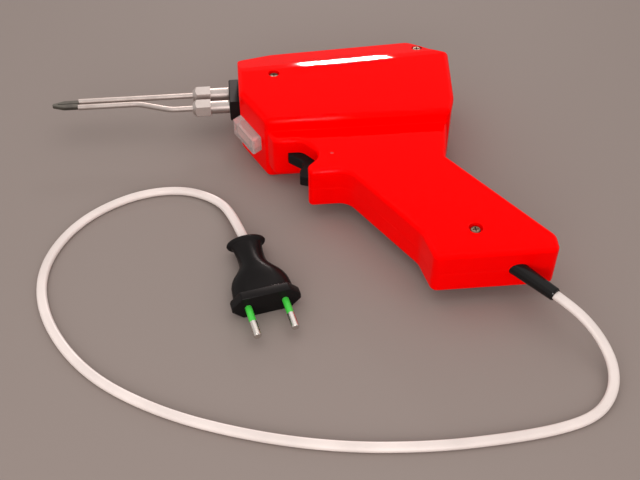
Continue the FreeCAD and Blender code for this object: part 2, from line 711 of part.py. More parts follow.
def clamp_seat():
    """Pedestal of the right shell under the flex, with two screw holes."""
    seat = clamp_bar(GRIP_LOW + 1.0, MID - FLEX_T / 2)
    for hole in clamp_holes(SCREW_R - 0.3 + PIN_FIT, GRIP_LOW + WALL + 1, MID):
        seat = seat.cut(hole)
    return seat


# ---- the two shells ----
def shells():
    outer = housing_solid(0.0, BODY_EDGE_R, GRIP_EDGE_R)
    whole = outer.cut(housing_solid(WALL, 0.0, 0.0))
    for x, y, seat, length, sink in SCREW_SPOTS:
        whole = whole.fuse(rod(V(x, y, -1), V(0, 0, 1), BOSS_R, BODY_THICK + 2).common(outer))
    whole = whole.fuse(spring_seat(outer))
    openings = [lens_opening(), plate_opening(), trigger_opening(), boot_opening()]
    openings.append(rod(V(PIN_X, PIN_Y, GRIP_LOW + 1.0 - PIN_FIT), V(0, 0, 1), PIN_R + PIN_FIT, 60))
    whole = whole.cut(Part.makeCompound(openings))
    upper = block(V(-20, -200, MID + SPLIT_GAP / 2), V(200, 60, 60))
    lower = block(V(-20, -200, -20), V(200, 60, MID - SPLIT_GAP / 2))
    left = whole.common(upper)
    right = whole.common(lower).fuse(clamp_seat())
    for x, y, seat, length, sink in SCREW_SPOTS:
        left = left.cut(rod(V(x, y, MID - 1), V(0, 0, 1), SCREW_R + SLIP, 60))
        left = left.cut(rod(V(x, y, seat), V(0, 0, 1), sink, 60))
        right = right.cut(rod(V(x, y, seat - length - 0.5), V(0, 0, 1), SCREW_R + PIN_FIT, 60))
    return left, right


# ---- wires inside ----
def mains_wires():
    """Live lead to the switch and neutral lead to the winding."""
    live_start = LEAD_START + SIDEWAYS * -1.3
    turn = live_start - BOOT_HEADING * 1.6
    live = sweep_round([
        (live_start.x, live_start.y, MID, 0), (turn.x, turn.y, MID, 1.5),
        (LEAD_START.x + 0.5, LEAD_START.y + 14.0, MID, 12.0),
        (SWITCH_X + SWITCH_LENGTH + 12.0, PLUNGER_Y - 5.4, MID, 10.0),
        (SWITCH_X + SWITCH_LENGTH + WIRE_END_GAP, PLUNGER_Y, MID, 0),
    ], LEAD_R)
    neutral_start = LEAD_START + SIDEWAYS * 1.3
    turn = neutral_start - BOOT_HEADING * 1.6
    flank_x = REAR_LEG_X + CORE_LEG + COIL_GROW
    neutral = sweep_round([
        (neutral_start.x, neutral_start.y, MID, 0), (turn.x, turn.y, MID, 1.5),
        (LEAD_START.x + 3.7, LEAD_START.y + 15.5, MID, 12.0),
        (GRIP_TOP.x - 7.1, GRIP_TOP.y - 7.8, MID, 12.0), (flank_x + 6.0, CORE_SOUTH, MID, 5.0),
        (flank_x + SLIP, CORE_SOUTH + 4.0, MID, 0),
    ], LEAD_R)
    return Part.makeCompound([live, neutral])


def switch_wire():
    x = SWITCH_X + 12.0
    return sweep_round([
        (x, SWITCH_TOP_Y + SLIP, MID, 0), (x, BODY_UNDER_Y + 4.0, MID, 10.0),
        (REAR_LEG_X + 5.0, CORE_SOUTH - COIL_GROW - 12.0, MID, 8.0),
        (REAR_LEG_X + 5.0, CORE_SOUTH - COIL_GROW - SLIP, MID, 0),
    ], LEAD_R)


def lamp_wires():
    start_x = LENS_TOP.x + 8.6 + 3.2 + 9.5 + SLIP
    wires = []
    for z in (MID - 1.6, MID + 1.6):
        wires.append(sweep_round([
            (start_x, LAMP_Y, z, 0), (start_x + 26.0, LAMP_Y, z, 16.0),
            (REAR_LEG_X - 5.0, CORE_SOUTH - COIL_GROW - 9.0, z, 6.0),
            (REAR_LEG_X - 4.0, CORE_SOUTH - COIL_GROW - SLIP, z, 0),
        ], LAMP_LEAD_R))
    return Part.makeCompound(wires)


# ---- mains plug ----
PLUG_TURN = math.radians(-78.3)
PLUG_HEADING = V(math.cos(PLUG_TURN), math.sin(PLUG_TURN), 0)
PLUG_FACE = V(12.2, -155.6, PLUG_THICK / 2)
PLUG_BACK = PLUG_FACE - PLUG_HEADING * PLUG_LENGTH


def place_plug(shape):
    """From the plug's own frame, X along it from its back and Z up, to where it lies."""
    shape.rotate(V(0, 0, 0), V(0, 0, 1), math.degrees(PLUG_TURN))
    shape.translate(PLUG_BACK)
    return shape


def plug_body():
    half = PLUG_WIDTH / 2
    length = PLUG_LENGTH
    outline = [
        (0.0, 10.2, 1.2), (2.8, 10.2, 1.2), (3.6, 7.4, 1.0), (15.0, 6.6, 10.0), (28.5, 14.4, 9.0),
        (length - 6.4, 15.4, 2.0), (length - 5.0, half, 1.0), (length, half, 0.8),
    ]
    mirrored = [(x, -y, r) for x, y, r in reversed(outline)]
    body = slab(outline + mirrored, -PLUG_THICK / 2, PLUG_THICK / 2)
    edges = [e for e in body.Edges if e.BoundBox.ZLength < 1e-6]
    body = body.makeChamfer(0.7, edges)
    for sense in (-1, 1):
        trim = block(V(-1, -20, 5.6), V(length - 14.0, 20, 12))
        if sense < 0:
            trim = trim.mirror(V(0, 0, 0), V(0, 0, 1))
        body = body.cut(trim)
    for y in (-PLUG_PITCH / 2, PLUG_PITCH / 2):
        body = body.cut(rod(V(length - 8.0, y, 0), V(1, 0, 0), PLUG_PIN_R + 0.02, 10.0))
    return place_plug(body)


def plug_pins():
    pins = []
    for y in (-PLUG_PITCH / 2, PLUG_PITCH / 2):
        root = rod(V(PLUG_LENGTH - 8.0, y, 0), V(1, 0, 0), PLUG_PIN_R, 8.0)
        neck = rod(V(PLUG_LENGTH - 1.0, y, 0), V(1, 0, 0), PIN_NECK_R, PLUG_SLEEVE + 2.0)
        bare_start = V(PLUG_LENGTH + PLUG_SLEEVE, y, 0)
        bare = rod(bare_start, V(1, 0, 0), PLUG_PIN_R, PLUG_PIN_LENGTH - PLUG_SLEEVE)
        end_x = PLUG_LENGTH + PLUG_PIN_LENGTH
        bare = bare.makeFillet(0.8, [e for e in bare.Edges if e.BoundBox.XMin > end_x - 1e-6])
        pins.append(place_plug(root.fuse(neck).fuse(bare)))
    return Part.makeCompound(pins)


def pin_sleeves():
    sleeves = []
    for y in (-PLUG_PITCH / 2, PLUG_PITCH / 2):
        tube = rod(V(PLUG_LENGTH, y, 0), V(1, 0, 0), SLEEVE_R, PLUG_SLEEVE)
        tube = tube.cut(rod(V(PLUG_LENGTH - 1, y, 0), V(1, 0, 0), PIN_NECK_R + PIN_FIT, PLUG_SLEEVE + 2))
        sleeves.append(place_plug(tube))
    return Part.makeCompound(sleeves)


# ---- mains lead on the floor ----
LIE = FLEX_T / 2
CORD_ROUTE = [
    (BOOT_END.x, BOOT_END.y, MID),
    (155.0, -182.4, 20.3), (161.5, -189.6, 17.0), (167.4, -198.0, 11.5), (170.2, -209.0, 6.5),
    (167.0, -220.6, 3.0), (157.0, -231.0, LIE), (139.5, -236.5, LIE), (114.0, -239.4, LIE),
    (80.0, -240.6, LIE), (40.0, -237.2, LIE), (0.0, -227.5, LIE), (-40.0, -211.5, LIE),
    (-75.0, -187.0, LIE), (-98.0, -151.0, LIE), (-103.0, -116.0, LIE), (-88.0, -84.0, LIE),
    (-60.0, -64.5, LIE), (-31.5, -61.0, LIE), (-10.8, -72.5, LIE + 0.6), (-2.0, -91.0, 4.8),
    (PLUG_BACK.x, PLUG_BACK.y, PLUG_THICK / 2),
]


def route_with_radii():
    """Each corner's arc takes 0.45 of its shorter run."""
    spots = [V(*p) for p in CORD_ROUTE]
    corners = [(*CORD_ROUTE[0], 0)]
    for i in range(1, len(spots) - 1):
        back = spots[i - 1] - spots[i]
        ahead = spots[i + 1] - spots[i]
        turn = math.pi - back.getAngle(ahead)
        radius = 0.45 * min(back.Length, ahead.Length) / math.tan(turn / 2)
        print("corner", i, "run %.1f turn %.1f radius %.1f" % (back.Length, math.degrees(turn), radius))
        corners.append((*CORD_ROUTE[i], radius))
    corners.append((*CORD_ROUTE[-1], 0))
    return corners


def mains_cord():
    path = wire_through(route_with_radii(), False)
    first = path.Edges[0]
    section = flex_section(first.firstVertex().Point, first.tangentAt(first.FirstParameter), V(0, 0, 1))
    shell = Part.BRepOffsetAPI.MakePipeShell(path)
    shell.setBiNormalMode(V(0, 0, 1))
    shell.add(section)
    shell.build()
    shell.makeSolid()
    cord = shell.shape()
    area = (FLEX_W - FLEX_T) * FLEX_T + math.pi * FLEX_T ** 2 / 4
    print("cord length %.1f volume %.1f expected %.1f" % (path.Length, cord.Volume, area * path.Length))
    return cord


left_shell, right_shell = shells()
NODES = {
    "housing_left": left_shell,
    "housing_right": right_shell,
    "front_plate": front_plate(),
    "lamp_lens": lens(),
    "lamp_bulb": lamp_bulb(),
    "lamp_holder": lamp_holder(),
    "lamp_wires": lamp_wires(),
    "transformer_core": core(),
    "bobbin": bobbin(),
    "primary_winding": winding(),
    "secondary_loop": secondary_loop(),
    "nut_upper": hex_nut(0.0),
    "nut_lower": hex_nut(-POST_GAP),
    "tip_wire_upper": tip_wire(0.0, 0.0),
    "tip_wire_lower": tip_wire(-POST_GAP, -WIRE_PITCH),
    "tip_bit": tip_bit(),
    "trigger": trigger(),
    "guide_pin": guide_pin(),
    "trigger_spring": trigger_spring(),
    "switch_body": switch_body(),
    "switch_plunger": switch_plunger(),
    "switch_wire": switch_wire(),
    "mains_wires": mains_wires(),
    "housing_screws": Part.makeCompound([screw(*spot) for spot in SCREW_SPOTS]),
    "cord_clamp": cord_clamp(),
    "clamp_screws": clamp_screws(),
    "lead_inside": lead_inside(),
    "strain_relief": strain_relief(),
    "mains_cord": mains_cord(),
    "plug_body": plug_body(),
    "plug_pins": plug_pins(),
    "pin_sleeves": pin_sleeves(),
}
ON_THE_CORD = ("mains_cord", "plug_body", "plug_pins", "pin_sleeves")

own = FreeCAD.BoundBox()
for name, shape in NODES.items():
    if name not in ON_THE_CORD:
        own.add(shape.BoundBox)
shift = V(-own.Center.x, -own.Center.y, 0)
print("gun box", own, "shift", shift)
os.makedirs("parts", exist_ok=True)
for name, shape in NODES.items():
    moved = shape.translated(shift)
    print("%-18s solids %d valid %s volume %.1f" % (name, len(moved.Solids), moved.isValid(), moved.Volume))
    moved.exportStep("parts/%s.step" % name)
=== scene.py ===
import math

import bmesh
import bpy
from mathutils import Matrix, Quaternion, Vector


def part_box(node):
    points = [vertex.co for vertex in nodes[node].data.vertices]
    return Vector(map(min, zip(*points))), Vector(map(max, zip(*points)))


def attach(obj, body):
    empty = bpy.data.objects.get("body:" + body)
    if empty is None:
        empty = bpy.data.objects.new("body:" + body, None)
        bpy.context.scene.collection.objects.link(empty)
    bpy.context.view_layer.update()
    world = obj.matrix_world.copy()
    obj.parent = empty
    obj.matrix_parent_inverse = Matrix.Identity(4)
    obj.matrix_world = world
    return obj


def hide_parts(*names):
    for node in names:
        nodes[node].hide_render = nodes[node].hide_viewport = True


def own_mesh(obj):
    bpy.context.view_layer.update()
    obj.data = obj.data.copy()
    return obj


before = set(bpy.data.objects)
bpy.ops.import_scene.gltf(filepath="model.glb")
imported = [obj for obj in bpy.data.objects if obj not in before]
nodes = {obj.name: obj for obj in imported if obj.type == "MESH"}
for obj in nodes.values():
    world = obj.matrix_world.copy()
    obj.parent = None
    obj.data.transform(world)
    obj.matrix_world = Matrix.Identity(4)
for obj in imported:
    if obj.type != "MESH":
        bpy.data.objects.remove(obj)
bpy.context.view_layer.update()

# ---- camera ----
# Stands on the grip's side of the gun, well above the floor. It looks down by half a right angle
# and is turned a little towards the rear of the body.
camera_data = bpy.data.cameras.new("camera")
camera_data.sensor_width = 36.0
camera_data.lens = 53.44
camera_data.clip_start = 0.01
camera = bpy.data.objects.new("camera", camera_data)
camera.location = (-0.015506, -0.385951, 0.359)
camera.rotation_euler = (math.radians(45.0), 0.0, math.radians(-5.24))
bpy.context.scene.collection.objects.link(camera)
bpy.context.scene.camera = camera


# ---- red housing shells ----
# Two halves moulded in glossy red plastic, screwed together along the middle plane. The mould
# leaves a very fine grain, and handling has dulled and scuffed the edges a little.
def new_group(name, inputs, outputs):
    """A shader node group with number sockets: inputs by name and value, outputs by name."""
    group = bpy.data.node_groups.new(name, "ShaderNodeTree")
    for label, value in inputs:
        socket = group.interface.new_socket(label, in_out="INPUT", socket_type="NodeSocketFloat")
        socket.default_value = value
    for label in outputs:
        group.interface.new_socket(label, in_out="OUTPUT", socket_type="NodeSocketFloat")
    entry = group.nodes.new("NodeGroupInput")
    leave = group.nodes.new("NodeGroupOutput")
    return group, entry, leave


def maths(tree, operation, first, second=None, clamp=False):
    """One sum, on sockets or plain numbers."""
    node = tree.nodes.new("ShaderNodeMath")
    node.operation = operation
    node.use_clamp = clamp
    for socket, value in zip(node.inputs, (first, second)):
        if value is None:
            continue
        if isinstance(value, (int, float)):
            socket.default_value = value
        else:
            tree.links.new(value, socket)
    return node.outputs[0]


def band(tree, value, low, high):
    """0 up to low, 1 from high on, and an even slope between the two."""
    node = tree.nodes.new("ShaderNodeMapRange")
    node.clamp = True
    node.inputs["From Min"].default_value = low
    node.inputs["From Max"].default_value = high
    tree.links.new(value, node.inputs["Value"])
    return node.outputs["Result"]


def noise(tree, vector, scale, detail=3.0, roughness=0.5):
    """Cloudy noise; the scale is in lumps to the metre."""
    node = tree.nodes.new("ShaderNodeTexNoise")
    node.inputs["Detail"].default_value = detail
    node.inputs["Roughness"].default_value = roughness
    if isinstance(scale, (int, float)):
        node.inputs["Scale"].default_value = scale
    else:
        tree.links.new(scale, node.inputs["Scale"])
    tree.links.new(vector, node.inputs["Vector"])
    return node.outputs["Fac"]


def object_place(tree):
    """Each point's place in the frame, in metres."""
    return tree.nodes.new("ShaderNodeTexCoord").outputs["Object"]


# Fine moulded grain with long faint scuffs: puts out a height, a dulling and a shade.
grain_group, entry, leave = new_group(
    "moulded_grain", (("Grain Scale", 2600.0), ("Scuffs", 0.5)), ("Height", "Dull", "Shade"))
place = object_place(grain_group)
fine = noise(grain_group, place, entry.outputs["Grain Scale"], detail=2.0)
broad = noise(grain_group, place, 38.0, detail=4.0)
stretch = grain_group.nodes.new("ShaderNodeMapping")
stretch.inputs["Rotation"].default_value = (0.2, 0.1, 0.7)
stretch.inputs["Scale"].default_value = (1.0, 14.0, 5.0)
grain_group.links.new(place, stretch.inputs["Vector"])
scratches = noise(grain_group, stretch.outputs["Vector"], 130.0, roughness=0.6)
scuff = maths(grain_group, "MULTIPLY", band(grain_group, scratches, 0.66, 0.76), entry.outputs["Scuffs"])
patchy = maths(grain_group, "MULTIPLY", scuff, band(grain_group, broad, 0.45, 0.65))
height = maths(grain_group, "SUBTRACT", fine, maths(grain_group, "MULTIPLY", patchy, 0.6))
grain_group.links.new(height, leave.inputs["Height"])
dull = maths(grain_group, "ADD", maths(grain_group, "MULTIPLY", patchy, 0.5),
             maths(grain_group, "MULTIPLY", band(grain_group, broad, 0.35, 0.7), 0.35))
grain_group.links.new(dull, leave.inputs["Dull"])
grain_group.links.new(band(grain_group, broad, 0.3, 0.7), leave.inputs["Shade"])

# Worn edges: the difference between the true normal and one rounded over a small radius.
wear_group, entry, leave = new_group("edge_wear", (("Width", 0.0006), ("Patchiness", 0.5)), ("Mask",))
soft = wear_group.nodes.new("ShaderNodeBevel")
soft.samples = 4
wear_group.links.new(entry.outputs["Width"], soft.inputs["Radius"])
facing = wear_group.nodes.new("ShaderNodeNewGeometry")
agree = wear_group.nodes.new("ShaderNodeVectorMath")
agree.operation = "DOT_PRODUCT"
wear_group.links.new(soft.outputs["Normal"], agree.inputs[0])
wear_group.links.new(facing.outputs["Normal"], agree.inputs[1])
edge = band(wear_group, agree.outputs["Value"], 0.985, 0.86)
speckle = band(wear_group, noise(wear_group, object_place(wear_group), 420.0, detail=4.0), 0.42, 0.62)
kept = maths(wear_group, "SUBTRACT", 1.0, entry.outputs["Patchiness"])
worn = maths(wear_group, "ADD", kept, maths(wear_group, "MULTIPLY", speckle, entry.outputs["Patchiness"]))
wear_group.links.new(maths(wear_group, "MULTIPLY", edge, worn), leave.inputs["Mask"])


def new_material(name):
    """A material with its node tree and its shader."""
    material = bpy.data.materials.new(name)
    material.use_nodes = True
    return material, material.node_tree, material.node_tree.nodes["Principled BSDF"]


def use_group(tree, group, **values):
    """Put a shared group in a material; grain_scale sets its Grain Scale, and so on."""
    node = tree.nodes.new("ShaderNodeGroup")
    node.node_tree = group
    for label, value in values.items():
        node.inputs[label.replace("_", " ").title()].default_value = value
    return node


def mixed(tree, factor, first, second):
    """The first colour, and the second as far as the factor says."""
    # A Mix node keeps its sockets for colours at these places.
    factor_at, first_at, second_at, colour_at = 0, 6, 7, 2
    node = tree.nodes.new("ShaderNodeMix")
    node.data_type = "RGBA"
    for place, value in ((factor_at, factor), (first_at, first), (second_at, second)):
        if isinstance(value, tuple):
            node.inputs[place].default_value = (*value, 1.0)
        else:
            tree.links.new(value, node.inputs[place])
    return node.outputs[colour_at]


def roughness_from(tree, shader, base, value, swing):
    """An even roughness, and up to swing more where the value is high."""
    total = maths(tree, "ADD", base, maths(tree, "MULTIPLY", value, swing), clamp=True)
    tree.links.new(total, shader.inputs["Roughness"])


def bump_from(tree, shader, value, distance):
    """Relief too fine to model, this many metres high."""
    node = tree.nodes.new("ShaderNodeBump")
    node.inputs["Distance"].default_value = distance
    node.inputs["Strength"].default_value = 1.0
    tree.links.new(value, node.inputs["Height"])
    tree.links.new(node.outputs["Normal"], shader.inputs["Normal"])


def moulded(name, colour, shaded, edge_colour, rough, grain=2600.0, relief=0.000012,
            scuffs=0.5, wear=0.0006, specular=0.5, swing=0.16):
    """Moulded plastic: two close shades, fine grain, scuffs, and lighter worn edges."""
    material, tree, shader = new_material(name)
    surface = use_group(tree, grain_group, grain_scale=grain, scuffs=scuffs)
    edges = use_group(tree, wear_group, width=wear, patchiness=0.6)
    body = mixed(tree, surface.outputs["Shade"], colour, shaded)
    tree.links.new(mixed(tree, edges.outputs["Mask"], body, edge_colour), shader.inputs["Base Color"])
    roughness_from(tree, shader, rough, surface.outputs["Dull"], swing)
    bump_from(tree, shader, surface.outputs["Height"], relief)
    shader.inputs["Specular IOR Level"].default_value = specular
    return material


def finish_with(material, *names):
    """Give the frame's nodes of these names this finish."""
    for name in names:
        for slot in nodes[name].material_slots:
            slot.material = material


red = moulded("red_shell", (1.0, 0.0, 0.0), (0.94, 0.0, 0.0), (1.0, 0.004, 0.003), 0.02,
              relief=0.0000005, scuffs=0.25, wear=0.0009, specular=0.03, swing=0.03)
finish_with(red, "housing_left", "housing_right")

# ---- front plate ----
# Black pressed insulating board. It keeps the hot posts off the shells, so it is plain, thick and
# only satin, with a faint grain in its face.
board = moulded("insulating_board", (0.009, 0.007, 0.007), (0.012, 0.009, 0.009), (0.02, 0.018, 0.017),
                0.5, grain=900.0, relief=0.00002, wear=0.0004, specular=0.1)
finish_with(board, "front_plate")


# ---- lamp window, lamp and lamp holder ----
# The window is a clear moulded block that pushes into the chin from inside; a small lamp sits
# behind it in a pale socket.
def clear(name, colour, rough, through, ior):
    """Clear plastic or glass with a faint grain and a few scuffs."""
    material, tree, shader = new_material(name)
    surface = use_group(tree, grain_group, grain_scale=1500.0, scuffs=0.8)
    tree.links.new(mixed(tree, surface.outputs["Shade"], colour, tuple(c * 0.94 for c in colour)),
                   shader.inputs["Base Color"])
    roughness_from(tree, shader, rough, surface.outputs["Dull"], 0.12)
    bump_from(tree, shader, surface.outputs["Height"], 0.000006)
    shader.inputs["Transmission Weight"].default_value = through
    shader.inputs["IOR"].default_value = ior
    return material


finish_with(clear("window_plastic", (0.98, 0.86, 0.83), 0.08, 0.72, 1.49), "lamp_lens")
finish_with(clear("lamp_glass", (1.0, 0.97, 0.9), 0.03, 0.9, 1.5), "lamp_bulb")
finish_with(moulded("pale_socket", (0.62, 0.58, 0.48), (0.55, 0.51, 0.42), (0.7, 0.66, 0.56), 0.45),
            "lamp_holder")


# ---- posts, cap nuts, tip wires and bit ----
# The posts are thick plated copper rods, drawn lengthways; the nuts are plated too and turned
# about the same line. The tip wires are tinned, and heat has turned the bit nearly black.
streak_group, entry, leave = new_group(
    "drawn_streaks", (("Streak Scale", 900.0), ("Tarnish", 0.4)), ("Height", "Dull", "Stain"))
along = streak_group.nodes.new("ShaderNodeMapping")
along.inputs["Scale"].default_value = (0.03, 1.0, 1.0)
streak_group.links.new(object_place(streak_group), along.inputs["Vector"])
streaks = noise(streak_group, along.outputs["Vector"], entry.outputs["Streak Scale"], roughness=0.6)
cloudy = noise(streak_group, object_place(streak_group), 90.0, detail=5.0, roughness=0.6)
streak_group.links.new(streaks, leave.inputs["Height"])
stain = maths(streak_group, "MULTIPLY", band(streak_group, cloudy, 0.42, 0.72), entry.outputs["Tarnish"])
streak_group.links.new(stain, leave.inputs["Stain"])
streak_group.links.new(
    maths(streak_group, "ADD", maths(streak_group, "MULTIPLY", streaks, 0.4), stain), leave.inputs["Dull"])


def metal(name, colour, stained, rough, streak=900.0, tarnish=0.4, metallic=1.0):
    """Bare or plated metal with drawing marks along the barrel and cloudy tarnish."""
    material, tree, shader = new_material(name)
    surface = use_group(tree, streak_group, streak_scale=streak, tarnish=tarnish)
    edges = use_group(tree, wear_group, width=0.0004, patchiness=0.5)
    body = mixed(tree, surface.outputs["Stain"], colour, stained)
    bright = tuple(min(1.0, c * 1.25) for c in colour)
    tree.links.new(mixed(tree, edges.outputs["Mask"], body, bright), shader.inputs["Base Color"])
    roughness_from(tree, shader, rough, surface.outputs["Dull"], 0.2)
    bump_from(tree, shader, surface.outputs["Height"], 0.000006)
    shader.inputs["Metallic"].default_value = metallic
    return material


post_metal = metal("plated_post", (0.47, 0.42, 0.395), (0.33, 0.28, 0.255), 0.42)
nut_metal = metal("plated_nut", (0.60, 0.53, 0.50), (0.42, 0.36, 0.33), 0.42, tarnish=0.25)
wire_metal = metal("tinned_wire", (0.50, 0.44, 0.41), (0.34, 0.29, 0.26), 0.45, streak=1400.0)
bit_metal = metal("burnt_bit", (0.13, 0.12, 0.10), (0.045, 0.04, 0.035), 0.36, tarnish=0.9, metallic=0.8)
finish_with(post_metal, "secondary_loop")
finish_with(nut_metal, "nut_upper", "nut_lower")
finish_with(wire_metal, "tip_wire_upper", "tip_wire_lower")
finish_with(bit_metal, "tip_bit")

# ---- trigger, its pin and the switch ----
# The trigger is a black glossy moulding that slides on a pin whose end shows as a small red
# dot; it pushes the switch's pale plunger.
black = moulded("black_moulding", (0.008, 0.007, 0.007), (0.011, 0.009, 0.009), (0.02, 0.019, 0.02), 0.2,
                relief=0.000004, specular=0.06)
finish_with(black, "trigger")
finish_with(moulded("red_pin", (0.72, 0.0, 0.0), (0.62, 0.0, 0.0), (0.8, 0.01, 0.01), 0.3, specular=0.1),
            "guide_pin")
phenolic = moulded("switch_case", (0.03, 0.028, 0.026), (0.045, 0.04, 0.036), (0.1, 0.09, 0.08), 0.5,
                   grain=1200.0, relief=0.00003)
finish_with(phenolic, "switch_body")
finish_with(moulded("plunger_nylon", (0.72, 0.70, 0.64), (0.66, 0.63, 0.56), (0.8, 0.78, 0.72), 0.42),
            "switch_plunger")


# ---- trigger spring ----
# Five turns of steel wire between the trigger's back and a rib of the shell, a little clear of
# both. The whole coil is held with the housing.
def select_only(piece):
    bpy.ops.object.select_all(action="DESELECT")
    bpy.context.view_layer.objects.active = piece
    piece.select_set(True)


def new_curve(name, form):
    """A curve and the object that holds it."""
    curve = bpy.data.curves.new(name, "CURVE")
    curve.dimensions = form
    holder = bpy.data.objects.new(name, curve)
    bpy.context.scene.collection.objects.link(holder)
    return curve, holder


def thread(curve, kind, spots):
    """Run one spline of the curve through these points."""
    spline = curve.splines.new(kind)
    spline.points.add(len(spots) - 1)
    for point, spot in zip(spline.points, spots):
        point.co = (*spot, 1.0)
    return spline


def finish_edit(smooth_angle, merge=0.000005):
    """Merge doubles, turn the faces outwards, leave edit mode and smooth what is nearly flat."""
    bpy.ops.mesh.select_all(action="SELECT")
    bpy.ops.mesh.remove_doubles(threshold=merge)
    bpy.ops.mesh.normals_make_consistent(inside=False)
    bpy.ops.object.mode_set(mode="OBJECT")
    bpy.ops.object.shade_smooth_by_angle(angle=math.radians(smooth_angle))


def curve_to_mesh(piece, material, smooth_angle, merge):
    """Turn a curve that has a thickness into a closed mesh of one material."""
    select_only(piece)
    bpy.ops.object.convert(target="MESH")
    bpy.ops.object.mode_set(mode="EDIT")
    finish_edit(smooth_angle, merge)
    piece.data.materials.clear()
    piece.data.materials.append(material)


SPRING_WIRE_R = 0.00035
SPRING_CLEAR = 0.000205
SPRING_TURNS = 5
SPRING_STEPS = 20
spring_low, spring_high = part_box("trigger_spring")
spring_front = spring_low.x + SPRING_CLEAR
spring_back = spring_high.x - SPRING_CLEAR
spring_middle = (spring_low + spring_high) / 2
coil_radius = (spring_high.z - spring_low.z) / 2 - SPRING_WIRE_R
coil_spots = []
for step in range(SPRING_TURNS * SPRING_STEPS + 1):
    share = step / (SPRING_TURNS * SPRING_STEPS)
    turn = 2 * math.pi * SPRING_TURNS * share
    coil_spots.append((spring_front + (spring_back - spring_front) * share,
                       spring_middle.y + coil_radius * math.cos(turn),
                       spring_middle.z + coil_radius * math.sin(turn)))
coil, return_spring = new_curve("return_spring", "3D")
thread(coil, "POLY", coil_spots)
coil.bevel_depth = SPRING_WIRE_R
coil.bevel_resolution = 2
coil.use_fill_caps = True
spring_steel = metal("spring_steel", (0.56, 0.56, 0.57), (0.3, 0.28, 0.26), 0.25)
curve_to_mesh(return_spring, spring_steel, smooth_angle=50, merge=0.000002)

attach(return_spring, "housing")
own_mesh(return_spring)
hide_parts("trigger_spring")


# ---- transformer ----
# A core of stacked steel sheets, a nylon bobbin, and a winding of lacquered copper wire whose
# turns show as fine ridges round the bobbin.
def striped(name, colour, gap_colour, ridges_per_metre, rough, metallic, axis):
    """Ridges square to one axis: stacked sheets, or the turns of a winding."""
    material, tree, shader = new_material(name)
    split = tree.nodes.new("ShaderNodeSeparateXYZ")
    tree.links.new(object_place(tree), split.inputs["Vector"])
    phase = maths(tree, "MULTIPLY", split.outputs[axis], ridges_per_metre * 2 * math.pi)
    ridge = maths(tree, "ADD", maths(tree, "MULTIPLY", maths(tree, "SINE", phase), 0.5), 0.5)
    surface = use_group(tree, streak_group, streak_scale=500.0, tarnish=0.5)
    body = mixed(tree, surface.outputs["Stain"], colour, tuple(c * 0.6 for c in colour))
    tree.links.new(mixed(tree, band(tree, ridge, 0.0, 0.35), gap_colour, body), shader.inputs["Base Color"])
    roughness_from(tree, shader, rough, surface.outputs["Dull"], 0.2)
    bump_from(tree, shader, ridge, 0.0001)
    shader.inputs["Metallic"].default_value = metallic
    return material


finish_with(striped("stacked_sheets", (0.2, 0.2, 0.21), (0.05, 0.045, 0.04), 2000.0, 0.4, 0.9, "Y"),
            "transformer_core")
finish_with(striped("lacquered_copper", (0.55, 0.2, 0.07), (0.12, 0.03, 0.01), 2200.0, 0.3, 0.7, "Z"),
            "primary_winding")
finish_with(moulded("bobbin_nylon", (0.66, 0.63, 0.55), (0.6, 0.56, 0.47), (0.75, 0.72, 0.65), 0.45),
            "bobbin")


# ---- wires inside ----
# Soft insulated leads: brown to the switch and winding, blue to the lamp, and the end of the
# white flex under its clamp.
def sleeved(name, colour, rough=0.45):
    """Soft insulation in one colour, a little paler at its edges."""
    shaded = tuple(c * 0.85 for c in colour)
    return moulded(name, colour, shaded, tuple(min(1.0, c * 1.2 + 0.02) for c in colour), rough,
                   grain=1800.0, relief=0.000015, scuffs=0.4, wear=0.0003)


finish_with(sleeved("brown_lead", (0.16, 0.05, 0.02)), "mains_wires", "switch_wire")
finish_with(sleeved("blue_lead", (0.03, 0.10, 0.42)), "lamp_wires")
white_flex = sleeved("white_flex", (0.80, 0.70, 0.66), 0.4)
finish_with(white_flex, "lead_inside")

# ---- screws and cord clamp ----
# Cross-head screws with a dull brown plating, at the bottom of their sinks. The clamp is a small
# black bar, held by two slotted screws.
screw_metal = metal("plated_screw", (0.20, 0.14, 0.10), (0.08, 0.05, 0.03), 0.4, streak=500.0, tarnish=0.8)
finish_with(screw_metal, "housing_screws", "clamp_screws")
finish_with(phenolic, "cord_clamp")

# ---- strain relief ----
# A soft, shiny black rubber boot, slightly tapered, that comes out of the butt at a slant. Its
# flange sits behind the butt's wall.
finish_with(moulded("boot_rubber", (0.008, 0.008, 0.008), (0.011, 0.010, 0.010), (0.02, 0.02, 0.02), 0.12,
                    grain=1400.0, relief=0.000004, wear=0.0003, specular=0.12, swing=0.08),
            "strain_relief")

# ---- mains lead ----
# White flat twin flex, 5.2 mm wide. It drops from the boot to the floor, goes round in one wide
# loop and comes back to the plug; it keeps lying on its flat side.
FLEX_WIDE = 0.0052
FLEX_THIN = 0.0032
ROUTE = (
    (0.1239, -0.0961, 0.02050), (0.1295, -0.1037, 0.02030), (0.1360, -0.1109, 0.01700),
    (0.1419, -0.1193, 0.01150), (0.1447, -0.1303, 0.00650), (0.1415, -0.1419, 0.00300),
    (0.1315, -0.1523, 0.00160), (0.1140, -0.1578, 0.00160), (0.0885, -0.1607, 0.00160),
    (0.0545, -0.1619, 0.00160), (0.0145, -0.1585, 0.00160), (-0.0255, -0.1488, 0.00160),
    (-0.0655, -0.1328, 0.00160), (-0.1005, -0.1083, 0.00160), (-0.1235, -0.0723, 0.00160),
    (-0.1285, -0.0373, 0.00160), (-0.1135, -0.0053, 0.00160), (-0.0855, 0.0142, 0.00160),
    (-0.0570, 0.0177, 0.00160), (-0.0363, 0.0062, 0.00220), (-0.0275, -0.0123, 0.00480),
    (-0.02255, -0.03231, 0.00685),
)
